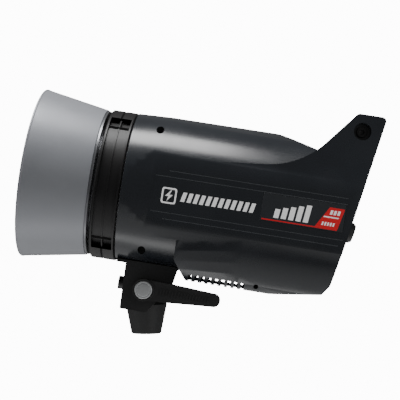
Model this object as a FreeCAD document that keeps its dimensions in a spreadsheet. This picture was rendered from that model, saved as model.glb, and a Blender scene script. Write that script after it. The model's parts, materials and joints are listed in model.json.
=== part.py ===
import FreeCAD, Part
import os
import re
import Sketcher

# Monolight strobe with its standard reflector, on a tilt yoke and a stand socket, in millimetres.
#
# Row frame: origin at the mouth of the stand socket, +Z up along the socket, -X the way the
# light goes, +X to the rear, -Y the operator's left.  The head rests nosed up by tilt_angle.
# Head frame: +X to the rear along the optical axis, origin on that axis above the tilt pivot.
# Rear frame: +X out of the leaning rear face, origin where the optical axis meets that face.

V = FreeCAD.Vector
doc = FreeCAD.newDocument("monolight_strobe")
sheet = doc.addObject("Spreadsheet::Sheet", "Dims")

DIMENSIONS = """
tilt_angle 9          rest attitude of the head, nose up, degrees
pivot_height 43       tilt pivot above the socket mouth
axis_height 93        optical axis above the tilt pivot
rear_lean 10.1        lean of the rear face, degrees
rear_x 179            where the optical axis meets the rear face
slack 0.4             gap between pieces that move past each other
wall 3                moulded wall of the casing
shell_front -32       front edge of the casing
shell_rear 205        past the rear of the casing, before it is trimmed
collar_radius 71.6    casing radius at its front edge
barrel_radius 72.8    casing radius along the barrel
flank_half 65.5       flat sides of the casing
flank_start -7        front end of the flat sides
slope_start 77        where the top's slope line leaves the barrel's height
slope_foot 139        end of the first slope
slope_height 60.4     height of the top there
belly_z -68           flat under the barrel where the yoke bolts on
bulge_z -78.5         underside of the vent bulge
bulge_half 37         half width of the bulge's flat underside
bulge_front 24        front of the bulge ramp
bulge_full 85         where the bulge reaches its full width
bulge_rear 162        rear corner of the bulge
line_width 0.8        styling lines on the flanks
line_depth 0.5        depth of those lines
post_bore 1.8         bore of the casing's screw posts, radius
ear_inner 49          inner face of each handle ear
ear_top 97            top of the handle ears
ear_lean 5            lean of the ears' outer faces, degrees
handle_x 175.5        handle bar centre
handle_z 81           handle bar centre
handle_radius 10      handle bar radius
handle_bore 3         bore of the handle bar, radius
handle_recess 8       screw recess in each ear, radius
grip_length 84        sleeve on the handle bar
grip_thick 1.6        thickness of that sleeve
badge_x 95.7          front end of the badge
badge_length 75.1     badge, along the flank
badge_height 24.4     badge, up the flank
badge_z -12.2         lower edge of the badge
vent_first 40.7       first vent slot
vent_pitch 6.14       vent slot spacing
vent_count 9          vent slots on each side
vent_width 3.2        vent slot width
vent_y 32.5           middle of each row of vents
vent_span 57          length of a vent slot across the underside
vent_height 6.5       top of the vent slots above the underside
ring_front -57        front face of the locking ring
ring_rear -33         rear face of the locking ring
ring_radius 71.5      outside of the locking ring
ring_seat 64.4        bore of the locking ring over its sleeve
ring_lip 57.8         bore of the lip that holds the lugs
grip_angle 59         half of each grip zone of the ring, degrees
grip_slot_angle 47    inner end of the deeper slot at each end of a grip zone, degrees
grip_slot 5           depth of those slots
grip_sink 2.6         depth of those zones
mouth_radius 57       outside of the reflector's bayonet collar
mouth_bore 54         inside of the reflector's bayonet collar
flange_front -62      front of the reflector's back flange
flange_radius 70.5    reflector radius at its flange
rim_front -123.6      front edge of the reflector
rim_radius 81.2       reflector radius at its rim
sheet_metal 1.4       reflector wall
tube_radius 22        flash tube ring, to the middle of the glass
tube_glass 4          flash tube glass radius
tube_x -70            plane of the flash tube ring
leg_y 8               flash tube legs, from the middle
leg_drop 3.2          how far the legs sit below the ring
plate_x -44           front plate, front face
plate_thick 2         front plate
bulb_tip -88          middle of the modelling bulb's round end
bulb_radius 13.5      modelling bulb
bulb_cap 12.6         modelling bulb's cap, radius
hub_radius 14         tilt hub of the stand socket
hub_half 20           half length of the tilt hub
cheek_inner 21        inner faces of the yoke cheeks
cheek_thick 6.5       left cheek thickness
cheek_outer 40.5      outer face of the right cheek
washer_thick 0.9      friction washers
bolt_radius 4         tilt bolt, M8
yoke_screw_y 12       yoke screws, from the middle
yoke_screw_a -24      front pair of yoke screws
yoke_screw_b 18       rear pair of yoke screws
socket_bore 8.1       bore for a 16 mm spigot, radius
socket_depth 32       depth of that bore
socket_wall 1         liner of that bore
socket_mouth 14.2     outer radius at the mouth
socket_shoulder 19.8  outer radius at the shoulder
shoulder_z 28         height of the shoulder
lock_z 8              height of the stand locking screw
lock_hole 3           hole for that screw, radius
lock_radius 7.5       stand lock knob
umbrella_y 33         umbrella tube centre
umbrella_front -30.5  front end of the umbrella tube
umbrella_length 54    umbrella tube
umbrella_bore 4.1     bore for an 8 mm umbrella shaft, radius
umbrella_tube 6.5     outside radius of the umbrella tube
umbrella_lock -11     umbrella locking screw
lever_inner -28.3     inner face of the tilt lever
lever_reach 71.8      tip of the tilt lever from its pivot
lever_width 11        tilt lever, along the bolt
lever_hub 10.2        tilt lever's boss, radius
lever_recess 8.6      recess for the lever's cap, radius
panel_back -6         inner face of the rear panel, from the rim
panel_face -2.5       outer face of the rear panel, from the rim
window_half 22.8      half width of the display window
window_height 19.6    height of the display window
window_z 16.2         lower edge of the display window
knob_z -9             control knob centre on the rear face
knob_radius 11        control knob radius
knob_front 10.5       how far the control knob stands out of the rim
shaft_radius 3        encoder shaft
key_y 28              push buttons, distance from the middle
key_width 14          push buttons
key_height 9          push buttons
inlet_y -24           mains inlet centre
inlet_z -40           mains inlet centre
inlet_width 27        mains inlet body
inlet_height 20       mains inlet body
drawer_width 22       fuse drawer
drawer_height 9       fuse drawer
switch_y 27           mains switch centre
switch_z -42          mains switch centre
switch_width 21       mains switch bezel
switch_height 15      mains switch bezel
side_y 42             sync jack and photocell, and the service port opposite
jack_z 26             sync jack and service port
jack_radius 4.6       sync jack
cell_z 11             photocell
cell_radius 3.6       photocell lens
port_width 12         service port
port_height 5         service port
light_z 12            status lights
light_first 37        first status light, from the middle
light_pitch 5         status light spacing
light_radius 1.2      status lights
deck_z -48            underside of the chassis plate
deck_length 132       chassis plate and power board
deck_width 96         chassis plate
deck_x 2              front end of the chassis plate
board_z -8            underside of the power board
board_thick 1.6       circuit boards
cap_radius 17.5       flash capacitor radius
cap_length 82         flash capacitor length
fan_x 132             front of the fan frame
fan_half 40           half of the fan frame
fan_depth 15          fan frame depth
"""

names = []
for index, line in enumerate(DIMENSIONS.strip().splitlines(), 1):
    alias, value, meaning = line.split(None, 2)
    sheet.set("A%d" % index, alias)
    sheet.set("B%d" % index, value)
    sheet.set("C%d" % index, meaning)
    sheet.setAlias("B%d" % index, alias)
    names.append(alias)
doc.recompute()

ALIAS = re.compile(r"(?<![\w.])(" + "|".join(sorted(names, key=len, reverse=True)) + r")(?!\w)")
TURN = {"X": FreeCAD.Rotation(V(0, 1, 0), 90),
        "Y": FreeCAD.Rotation(V(1, 0, 0), -90),
        "Z": FreeCAD.Rotation()}
nodes = []


# ---------------------------------------------------------------- helpers

def bound(text):
    """An expression over the sheet, from a number or a text that uses its aliases."""
    return ALIAS.sub(r"Dims.\1", str(text))


def drive(obj, **sizes):
    for prop, text in sizes.items():
        obj.setExpression(prop, bound(text))
    return obj


def put(obj, at, rotation=None):
    """Give a form its place, each coordinate bound to the sheet."""
    if rotation is not None:
        obj.Placement = FreeCAD.Placement(V(0, 0, 0), rotation)
    for axis, text in zip("xyz", at):
        obj.setExpression("Placement.Base." + axis, bound(text))
    return obj


def rod(axis, radius, length, at):
    """A cylinder that starts at a point and runs along an axis."""
    obj = doc.addObject("Part::Cylinder", "rod")
    return put(drive(obj, Radius=radius, Height=length), at, TURN[axis])


def taper(axis, radius_a, radius_b, length, at):
    obj = doc.addObject("Part::Cone", "taper")
    return put(drive(obj, Radius1=radius_a, Radius2=radius_b, Height=length), at, TURN[axis])


def block(size, at):
    """A box with its centre in Y at the given place, and its low X and low Z corner there."""
    obj = doc.addObject("Part::Box", "block")
    drive(obj, Length=size[0], Width=size[1], Height=size[2])
    return put(obj, (at[0], "(%s)-(%s)/2" % (at[1], size[1]), at[2]), FreeCAD.Rotation())


def hoop(axis, radius, thickness, at):
    obj = doc.addObject("Part::Torus", "hoop")
    return put(drive(obj, Radius1=radius, Radius2=thickness), at, TURN[axis])


def join(*forms):
    obj = doc.addObject("Part::MultiFuse", "join")
    obj.Shapes = list(forms)
    return obj


def shared(*forms):
    obj = doc.addObject("Part::MultiCommon", "shared")
    obj.Shapes = list(forms)
    return obj


def group(*forms):
    """Separate solids that make up one node."""
    obj = doc.addObject("Part::Compound", "group")
    obj.Links = list(forms)
    return obj


def cut(base, *tools):
    obj = doc.addObject("Part::Cut", "cut")
    obj.Base = base
    obj.Tool = tools[0] if len(tools) == 1 else join(*tools)
    return obj


def outline(body, plane, points):
    """A closed sketch of straight runs, each corner bound to the sheet."""
    sketch = body.newObject("Sketcher::SketchObject", "outline")
    face = [f for f in body.Origin.OriginFeatures if f.Role == plane][0]
    sketch.AttachmentSupport = [(face, "")]
    sketch.MapMode = "FlatFace"
    corners = [V(sheet_value(x), sheet_value(y), 0) for x, y in points]
    count = len(points)
    for i in range(count):
        sketch.addGeometry(Part.LineSegment(corners[i], corners[(i + 1) % count]))
    for i in range(count):
        sketch.addConstraint(Sketcher.Constraint("Coincident", i, 2, (i + 1) % count, 1))
    for i, (x, y) in enumerate(points):
        for kind, text, value in (("DistanceX", x, corners[i].x), ("DistanceY", y, corners[i].y)):
            number = sketch.addConstraint(Sketcher.Constraint(kind, -1, 1, i, 1, value))
            name = "corner%d%s" % (i, kind[-1])
            sketch.renameConstraint(number, name)
            sketch.setExpression("Constraints." + name, bound(text))
    return sketch


def sheet_value(text):
    """The number that an expression over the sheet stands for now."""
    result = sheet.evalExpression(bound(text).replace("Dims.", ""))
    return float(getattr(result, "Value", result))


def prism(plane, points, length, start):
    """An outline made solid along the plane's own axis, from start to start + length."""
    body = doc.addObject("PartDesign::Body", "prism")
    sketch = outline(body, plane, points)
    pad = body.newObject("PartDesign::Pad", "pad")
    pad.Profile = sketch
    drive(pad, Length=length)
    if plane == "XZ_Plane":
        put(body, (0, "(%s)+(%s)" % (start, length), 0), FreeCAD.Rotation())
    elif plane == "YZ_Plane":
        put(body, (start, 0, 0), FreeCAD.Rotation())
    else:
        put(body, (0, 0, start), FreeCAD.Rotation())
    return body


def lofted(stations):
    """Sections across the X axis, each at its own place, joined by straight skins."""
    body = doc.addObject("PartDesign::Body", "lofted")
    sketches = []
    for place, points in stations:
        sketch = outline(body, "YZ_Plane", points)
        sketch.AttachmentOffset = FreeCAD.Placement(V(0, 0, sheet_value(place)), FreeCAD.Rotation())
        sketch.setExpression("AttachmentOffset.Base.z", bound(place))
        sketches.append(sketch)
    doc.recompute()
    skin = body.newObject("PartDesign::AdditiveLoft", "skin")
    skin.Profile = sketches[0]
    skin.Sections = sketches[1:]
    skin.Ruled = True
    body.Tip = skin
    return body


def turned(points):
    """An outline of (x, radius) corners, turned about the X axis."""
    body = doc.addObject("PartDesign::Body", "turned")
    sketch = outline(body, "XZ_Plane", points)
    spin = body.newObject("PartDesign::Revolution", "spin")
    spin.Profile = sketch
    spin.ReferenceAxis = (sketch, ["H_Axis"])
    spin.Angle = 360
    return body


def rounded(body, corners):
    """Round the long edges of a prism that pass through the given outline corners."""
    for x, y, radius in corners:
        doc.recompute()
        tip = body.Tip
        plane = [o for o in body.Group if o.TypeId == "Sketcher::SketchObject"][0]
        role = plane.AttachmentSupport[0][0].Role
        px, py = sheet_value(x), sheet_value(y)
        if role == "XZ_Plane":
            target, run = V(px, 0, py), V(0, 1, 0)
        elif role == "YZ_Plane":
            target, run = V(0, px, py), V(1, 0, 0)
        else:
            target, run = V(px, py, 0), V(0, 0, 1)
        chosen = []
        for number, edge in enumerate(tip.Shape.Edges, 1):
            a, b = edge.Vertexes[0].Point, edge.Vertexes[-1].Point
            along = (b - a)
            if along.Length > 0.1 and abs(abs(along.normalize().dot(run)) - 1) < 1e-6:
                miss = (a - target) - run * (a - target).dot(run)
                if miss.Length < 0.05:
                    chosen.append("Edge%d" % number)
        fillet = body.newObject("PartDesign::Fillet", "rounding")
        fillet.Base = (tip, chosen)
        drive(fillet, Radius=radius)
        body.Tip = fillet
    doc.recompute()
    return body


HEAD = {"angle": "tilt_angle",
        "x": "axis_height*sin(tilt_angle)",
        "z": "pivot_height+axis_height*cos(tilt_angle)"}
REAR = {"angle": "tilt_angle+rear_lean",
        "x": "axis_height*sin(tilt_angle)+rear_x*cos(tilt_angle)",
        "z": "pivot_height+axis_height*cos(tilt_angle)-rear_x*sin(tilt_angle)"}
ROW = {"angle": "0", "x": "0", "z": "0"}


def node(label, form, frame):
    """Name a finished sub-part and turn it from its own frame into the row frame."""
    if form.TypeId in ("Part::Cylinder", "Part::Box", "Part::Cone", "Part::Torus"):
        form = group(form)
    if form.TypeId == "PartDesign::Body" and form.Placement.Base.Length > 0:
        form = group(form)
    form.Label = label
    if frame is not ROW:
        form.Placement = FreeCAD.Placement(V(0, 0, 0), FreeCAD.Rotation(V(0, 1, 0), 1))
        drive(form, **{"Placement.Rotation.Angle": frame["angle"],
                       "Placement.Base.x": frame["x"],
                       "Placement.Base.z": frame["z"]})
    nodes.append(form)
    return form


def ring_places(radius, angles):
    """(y, z) expressions at angles round the optical axis, from straight up."""
    return [("(%s)*sin(%s)" % (radius, a), "(%s)*cos(%s)" % (radius, a)) for a in angles]


# ---------------------------------------------------------------- casing

REAR_SLOPE = "tan(rear_lean)"


def rear_edge(z):
    """X of the leaning rear edge at a height."""
    return "rear_x+(%s)*%s" % (z, REAR_SLOPE)


def barrel_form(inset):
    """The round barrel; an inset one runs on through the open front."""
    front = "shell_front-6*(%s)" % inset
    return turned([(front, 0), (front, "collar_radius-(%s)" % inset),
                   (0, "barrel_radius-(%s)" % inset),
                   ("shell_rear", "barrel_radius-(%s)" % inset), ("shell_rear", 0)])


def plan_form(inset):
    """Plan view: round at the front, fading into the flat sides."""
    wide = "flank_half+14.3-(%s)" % inset
    flat = "flank_half-(%s)" % inset
    return prism("XY_Plane",
                 [(-100, "-(%s)" % wide), (-60, "-(%s)" % wide), ("flank_start", "-(%s)" % flat),
                  ("shell_rear", "-(%s)" % flat), ("shell_rear", flat), ("flank_start", flat),
                  (-60, wide), (-100, wide)], 220, -110)


def side_form(inset, rear):
    """Side view of the barrel: flat belly, sloping top at the rear."""
    low = "belly_z+(%s)" % inset
    return prism("XZ_Plane",
                 [(-100, low), ("(%s)-66*%s" % (rear, REAR_SLOPE), low),
                  ("(%s)+45*%s" % (rear, REAR_SLOPE), "45-(%s)" % inset),
                  ("slope_foot", "slope_height-(%s)" % inset),
                  ("slope_start", "barrel_radius+7.2-(%s)" % inset),
                  (-100, "barrel_radius+7.2-(%s)" % inset)], 180, -90)


def bulge_section(inset):
    """The belly of the vent bulge, which widens from the barrel's underside to the flat sides."""
    low, foot = "bulge_z+(%s)" % inset, "bulge_half-(%s)" % inset
    narrow = section_points("flank_half-6.5-(%s)" % inset, -43, "%s-6" % foot, low)
    wide = section_points("flank_half-(%s)" % inset, -30, foot, low)
    return lofted([("bulge_front-2", narrow), ("bulge_full", wide), ("shell_rear", wide)])


def section_points(side, knee, foot, low):
    """Corners of a bulge section, which rounds under in short flats along a quarter ellipse."""
    right = [(side, -20)]
    for angle in range(0, 91, 15):
        right.append(("(%s)-((%s)-(%s))*(1-cos(%d))" % (side, side, foot, angle),
                      "(%s)-((%s)-(%s))*sin(%d)" % (knee, knee, low, angle)))
    return right + [("-(%s)" % y, z) for y, z in reversed(right)]


def bulge_side(inset, rear):
    """Side view of the vent bulge: a ramp, a flat and a long rise to the rear corner."""
    low = "bulge_z+(%s)" % inset
    return prism("XZ_Plane",
                 [("bulge_front+(%s)" % inset, -20), ("bulge_front+(%s)" % inset, "-60+(%s)" % inset),
                  ("bulge_front+13+(%s)" % inset, low), (115, low),
                  ("bulge_rear", "-71.2+(%s)" % inset),
                  ("(%s)-62*%s" % (rear, REAR_SLOPE), -62),
                  ("(%s)-20*%s" % (rear, REAR_SLOPE), -20)], 180, -90)


def ear_forms():
    """The pair of ears that carry the handle bar; their outer faces lean in towards the top."""
    ears = rounded(prism("XZ_Plane",
                         [(34, -6), (37, 32.3), (124.3, 41.2), (169.5, "ear_top"),
                          (rear_edge("ear_top"), "ear_top"), (rear_edge(-6), -6)],
                         "2*flank_half", "-flank_half"),
                   [(124.3, 41.2, 75), (169.5, "ear_top", 5), (rear_edge("ear_top"), "ear_top", 4)])
    between = block((200, "2*ear_inner", 200), (30, 0, -20))
    lean = []
    for side in (1, -1):
        away = block((220, 30, 120), (0, 0, 0))
        away.Placement = FreeCAD.Placement(V(0, 0, 0), FreeCAD.Rotation(V(side, 0, 0), 1))
        drive(away, **{"Placement.Rotation.Angle": "ear_lean",
                       "Placement.Base.y": "%d*(flank_half+15)-15" % side,
                       "Placement.Base.z": "28-(1-(%d))*1.3" % side})
        lean.append(away)
    return cut(ears, between, *lean)


# Head X and Z of each casing screw, depth of its seat from the middle, and radius of its hole.
SCREW_PLACES = ((-7, 55.4, 46, 3.7), (-7, -56.7, 44, 3.7), (102, -73.2, 47, 2.2))

# Head Z, front end and rear end of each styling line.
FLANK_LINES = ((18.7, 8, 172), (13.2, -3.5, 172), (-19.3, -3.5, 173), (-25, 8, 169))


def casing():
    outer = join(shared(barrel_form("0"), plan_form("0"), side_form("0", "rear_x")),
                 shared(bulge_section("0"), bulge_side("0", "rear_x")),
                 ear_forms())
    hollow = join(shared(barrel_form("wall"), plan_form("wall"), side_form("wall", "rear_x+20")),
                  shared(bulge_section("wall"), bulge_side("wall", "rear_x+20")))
    posts = [rod("Y", hole + 1.1, "2*(%s)-3" % reach, (x, "-(%s)+1.5" % reach, z))
             for x, z, reach, hole in SCREW_PLACES]
    shell = join(cut(outer, hollow), shared(join(*posts), outer_again()))
    cuts = []
    for x, z, reach, hole in SCREW_PLACES:
        cuts.append(rod("Y", hole, 16, (x, "-(%s)-7" % reach, z)))
        cuts.append(rod("Y", "post_bore", "(%s)+10" % reach, (x, "-(%s)+4" % reach, z)))
    for number in range(int(sheet_value("vent_count"))):
        place = "vent_first+%d*vent_pitch-vent_width/2" % number
        for side in (1, -1):
            cuts.append(block(("vent_width", "vent_span", "vent_height+2"),
                              (place, "%d*vent_y" % side, "bulge_z-2")))
    for side in (1, -1):
        cuts.append(rod("Y", "handle_recess", 12, ("handle_x", "%d*(ear_inner+9)-6" % side, "handle_z")))
        cuts.append(rod("Y", "handle_bore+0.2", 30, ("handle_x", "%d*ear_inner-15" % side, "handle_z")))
        cuts.append(block(("badge_length+slack", 1.6, "badge_height+slack"),
                          ("badge_x-slack/2", "%d*flank_half" % side, "badge_z-slack/2")))
        for z, start, end in FLANK_LINES:
            cuts.append(block((end - start, "2*line_depth", "line_width"),
                              (start, "%d*flank_half" % side, "%s-line_width/2" % z)))
    for x, y in yoke_screw_places():
        cuts.append(rod("Z", 2.3, 10, (x, y, "belly_z-3")))
    whole = cut(shell, *cuts)
    for label, start in (("housing_left", -110), ("housing_right", 0)):
        half = block((330, 110, 240), (-60, "%d+55" % start, -120))
        node(label, shared(whole, half), HEAD)


def yoke_screw_places():
    return [(x, "%d*yoke_screw_y" % side) for x in ("yoke_screw_a", "yoke_screw_b") for side in (-1, 1)]


def outer_again():
    """The volume inside the casing's skin, for trimming the screw posts."""
    return join(shared(barrel_form("1"), plan_form("1"), side_form("1", "rear_x")),
                shared(bulge_section("1"), bulge_side("1", "rear_x")))


def casing_fasteners():
    screws = []
    for x, z, reach, hole in SCREW_PLACES:
        head = rod("Y", "%s-0.3" % hole, 2.4, (x, "-(%s)+6.4" % reach, z))
        shank = rod("Y", 1.5, "(%s)+3" % reach, (x, "-(%s)+8.8" % reach, z))
        drive_hole = rod("Y", 1, 1.4, (x, "-(%s)+6" % reach, z))
        screws.append(cut(join(head, shank), drive_hole))
    node("housing_screws", group(*screws), HEAD)


def handle():
    bar = cut(rod("Y", "handle_radius", "2*ear_inner", ("handle_x", "-ear_inner", "handle_z")),
              rod("Y", "handle_bore", "2*ear_inner+2", ("handle_x", "-ear_inner-1", "handle_z")))
    node("handle_bar", bar, HEAD)
    grip = cut(rod("Y", "handle_radius+grip_thick", "grip_length",
                   ("handle_x", "-grip_length/2", "handle_z")),
               rod("Y", "handle_radius", "grip_length+2", ("handle_x", "-grip_length/2-1", "handle_z")))
    node("handle_grip", grip, HEAD)
    screws = []
    for side in (1, -1):
        head = rod("Y", 5, 3, ("handle_x", "%d*(ear_inner+4.5)-1.5" % side, "handle_z"))
        shank = rod("Y", "handle_bore-0.1", 20, ("handle_x", "%d*(ear_inner-6.5)-10" % side, "handle_z"))
        hexagon = rod("Y", 2, 2, ("handle_x", "%d*(ear_inner+5.5)-1" % side, "handle_z"))
        screws.append(cut(join(head, shank), hexagon))
    node("handle_screws", group(*screws), HEAD)


def badges():
    for label, side in (("badge_left", -1), ("badge_right", 1)):
        plate = block(("badge_length", 0.9, "badge_height"),
                      ("badge_x", "%d*(flank_half-0.3)" % side, "badge_z"))
        node(label, plate, HEAD)


# ---------------------------------------------------------------- front end

def bayonet():
    base = cut(turned([("ring_rear+1", 40), ("ring_rear+1", "collar_radius-wall-0.6"),
                       ("ring_rear+4", "collar_radius-wall-0.6"), ("ring_rear+4", 40)]),
               block((10, 140, 20), ("ring_rear-1", 0, "belly_z+wall-19.6")))
    sleeve = turned([("ring_front+4", 61), ("ring_front+4", "ring_seat-slack"),
                     ("ring_rear+2", "ring_seat-slack"), ("ring_rear+2", 61)])
    seat = turned([("plate_x+2", "mouth_bore-2"), ("plate_x+2", "mouth_radius+0.6"),
                   ("ring_rear+2", "mouth_radius+0.6"), ("ring_rear+2", "mouth_bore-2")])
    node("bayonet_base", join(base, sleeve, seat), HEAD)

    band = turned([("ring_front", "ring_seat"), ("ring_front", "ring_radius-1"),
                   ("ring_front+1", "ring_radius"), ("ring_front+11", "ring_radius"),
                   ("ring_front+12", "ring_radius-1.4"), ("ring_front+13", "ring_radius"),
                   ("ring_rear-1", "ring_radius"), ("ring_rear", "ring_radius-1"),
                   ("ring_rear", "ring_seat")])
    lip = turned([("ring_front", "ring_lip"), ("ring_front", "ring_seat+1"),
                  ("ring_front+3", "ring_seat+1"), ("ring_front+3", "ring_lip")])
    notches = []
    for y, z in ring_places("ring_lip+2", (10, 130, 250)):
        notches.append(rod("X", 5, 6, ("ring_front-1", y, z)))
    grips = []
    for side in (1, -1):
        pocket = turned([("ring_front+2.5", "ring_radius-grip_sink"), ("ring_front+2.5", "ring_radius+3"),
                         ("ring_rear-2.5", "ring_radius+3"), ("ring_rear-2.5", "ring_radius-grip_sink")])
        zone = block((30, 40, "2*ring_radius*sin(grip_angle)"),
                     ("ring_front-3", "%d*(ring_radius-4)" % side, "-ring_radius*sin(grip_angle)"))
        grips.append(shared(pocket, zone))
        deep = turned([("ring_front+2.5", "ring_radius-grip_slot"), ("ring_front+2.5", "ring_radius+3"),
                       ("ring_rear-2.5", "ring_radius+3"), ("ring_rear-2.5", "ring_radius-grip_slot")])
        height = "ring_radius*(sin(grip_angle)-sin(grip_slot_angle))"
        ends = [block((30, 60, height), ("ring_front-3", "%d*(ring_radius-20)" % side, low))
                for low in ("ring_radius*sin(grip_slot_angle)", "-ring_radius*sin(grip_angle)")]
        grips.append(shared(deep, join(*ends)))
    node("bayonet_lock_ring", cut(join(band, lip), *(notches + grips)), HEAD)


def reflector():
    shell = turned([("flange_front", "flange_radius"), ("rim_front", "rim_radius"),
                    ("rim_front", "rim_radius-sheet_metal"),
                    ("flange_front-sheet_metal", "flange_radius-sheet_metal-0.2"),
                    ("flange_front-sheet_metal", "mouth_bore"), ("flange_front", "mouth_bore")])
    bead = hoop("X", "rim_radius-1", 1, ("rim_front+1", 0, 0))
    node("reflector_shell", join(shell, bead), HEAD)
    flange = turned([("flange_front", "mouth_bore"), ("flange_front", "flange_radius-1"),
                     ("flange_front+2.2", "flange_radius-1"), ("flange_front+2.2", "mouth_radius"),
                     ("plate_x+2", "mouth_radius"), ("plate_x+2", "mouth_bore")])
    lugs = []
    for angle in (50, 170, 290):
        arc = turned([("ring_front+5", "mouth_radius-1"), ("ring_front+5", "mouth_radius+3.4"),
                      ("ring_front+8.6", "mouth_radius+3.4"), ("ring_front+8.6", "mouth_radius-1")])
        y, z = ring_places("mouth_radius+1", (angle,))[0]
        lugs.append(shared(arc, rod("X", 9, 12, ("ring_front", y, z))))
    node("reflector_collar", join(flange, *lugs), HEAD)


def light_sources():
    back = "plate_x+plate_thick"
    plate = turned([("plate_x", 0), ("plate_x", "mouth_bore-0.6"), (back, "mouth_bore-0.6"), (back, 0)])
    holes = [rod("X", 18.5, 6, ("plate_x-2", 0, 0))]
    for side in (1, -1):
        holes.append(rod("X", "tube_glass+0.6", 6,
                         ("plate_x-2", "%d*leg_y" % side, "-tube_radius-leg_drop")))
    node("front_plate", cut(plate, *holes), HEAD)

    legs = [rod("X", "tube_glass-0.4", "plate_x-tube_x+4",
                ("tube_x", "%d*leg_y" % side, "-tube_radius-leg_drop"))
            for side in (1, -1)]
    bridge = hoop("X", "tube_radius", "tube_glass", ("tube_x", 0, 0))
    node("flash_tube", join(bridge, *legs), HEAD)
    base = cut(block((12, 34, 12), (back, 0, "-tube_radius-10")),
               *[rod("X", "tube_glass-0.4", 3, ("plate_x+1.5", "%d*leg_y" % side, "-tube_radius-leg_drop"))
                 for side in (1, -1)])
    node("flash_tube_socket", base, HEAD)

    globe = join(rod("X", "bulb_radius", 40, ("bulb_tip", 0, 0)), ball("bulb_radius", ("bulb_tip", 0, 0)),
                 rod("X", 11, 10, ("bulb_tip+40", 0, 0)))
    node("modelling_bulb", globe, HEAD)
    node("modelling_bulb_cap", rod("X", "bulb_cap", 22, ("bulb_tip+50", 0, 0)), HEAD)
    socket = cut(rod("X", 17.5, 40, ("plate_x+2.2", 0, 0)),
                 rod("X", "bulb_cap+0.3", 28, ("plate_x+1.2", 0, 0)))
    node("lamp_socket", socket, HEAD)


def ball(radius, at):
    obj = doc.addObject("Part::Sphere", "ball")
    return put(drive(obj, Radius=radius), at, FreeCAD.Rotation())


# ---------------------------------------------------------------- inside

def electronics():
    deck = block(("deck_length", "deck_width", 2), ("deck_x", 0, "deck_z"))
    node("chassis_plate", deck, HEAD)
    posts = [cut(rod("Z", 4.5, "deck_z-belly_z-wall", (x, y, "belly_z+wall")),
                 rod("Z", 1.6, "deck_z-belly_z+4", (x, y, "belly_z+wall-2")))
             for x, y in yoke_screw_places()]
    shelf = block((29.5, 40, 2), (-28, 0, "deck_z"))
    pillars = [rod("Z", 2.5, "board_z-deck_z-2", (x, "%d*43" % side, "deck_z+2"))
               for x in (8, 124) for side in (1, -1)]
    node("standoffs", group(join(shelf, posts[0], posts[1]), posts[2], posts[3], *pillars), HEAD)
    number = 0
    for x in (4, 88):
        for side in (1, -1):
            if x > 50 and side < 0:
                continue
            number += 1
            length = "cap_length" if x < 50 else "cap_length/2"
            can = rod("X", "cap_radius", length, (x, "%d*(cap_radius+1.5)" % side,
                                                  "deck_z+2+cap_radius"))
            node("flash_capacitor_%d" % number, can, HEAD)
    strap = block((12, 76, 1.2), (40, 0, "deck_z+2+2*cap_radius"))
    feet = [block((12, 1.2, "2*cap_radius+1.2"), (40, "%d*38.2" % side, "deck_z+2"))
            for side in (1, -1)]
    node("capacitor_strap", join(strap, *feet), HEAD)
    board = block(("deck_length-4", "deck_width-4", "board_thick"), ("deck_x", 0, "board_z"))
    node("power_board", board, HEAD)
    core = block((34, 30, 30), (72, -14, "board_z+board_thick"))
    coil = rod("Z", 18, 20, (89, -14, "board_z+6.6"))
    node("transformer", join(core, coil), HEAD)
    fins = [block((46, 2, 26), (18, "18+%d" % (5 * i), "board_z+4.6")) for i in range(5)]
    node("heat_sink", join(block((46, 24, 3), (18, 28, "board_z+board_thick")), *fins), HEAD)
    node("trigger_coil", join(rod("Y", 9, 22, (26, -32, "board_z+10.6")),
                              block((20, 24, 4), (16, -21, "board_z+board_thick"))), HEAD)


def fan():
    frame = cut(block(("fan_depth", "2*fan_half", "2*fan_half"), ("fan_x", 0, "-fan_half")),
                rod("X", "fan_half-2.5", "fan_depth+2", ("fan_x-1", 0, 0)))
    spokes = [block((2, 4, "2*fan_half-2"), ("fan_x", 0, "-fan_half+1")),
              block((2, "2*fan_half-2", 4), ("fan_x", 0, -2))]
    hub = rod("X", 14, 3, ("fan_x", 0, 0))
    pin = rod("X", 1.5, 8, ("fan_x", 0, 0))
    node("fan_frame", join(frame, hub, pin, *spokes), HEAD)
    rotor = cut(rod("X", 15, 10, ("fan_x+4", 0, 0)), rod("X", 1.8, 6, ("fan_x+3", 0, 0)))
    blades = []
    for index in range(7):
        blade = block((9, 1.6, 22), (-4.5, 0, 13.5))
        turn = FreeCAD.Rotation(V(1, 0, 0), index * 360.0 / 7).multiply(FreeCAD.Rotation(V(0, 0, 1), 35))
        put(blade, ("fan_x+9", 0, 0), turn)
        shift = turn.multVec(V(-4.5, -0.8, 13.5))
        put(blade, ("fan_x+9+%.4f" % shift.x, "%.4f" % shift.y, "%.4f" % shift.z))
        blades.append(blade)
    node("fan_rotor", join(rotor, *blades), HEAD)


# ---------------------------------------------------------------- rear face

KEYS = (("mode_button", 1, -1), ("model_button", 1, -17), ("audio_button", -1, -1),
        ("cell_button", -1, -17))


LIGHTS = 3


def light_y(index):
    return "-light_first-%d*light_pitch" % index


def window(width, height, y, low):
    """A cutter through the rear panel, with the usual gap all round."""
    return block((20, "%s+slack" % width, "%s+slack" % height), (-10, y, "%s-slack/2" % low))


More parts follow.
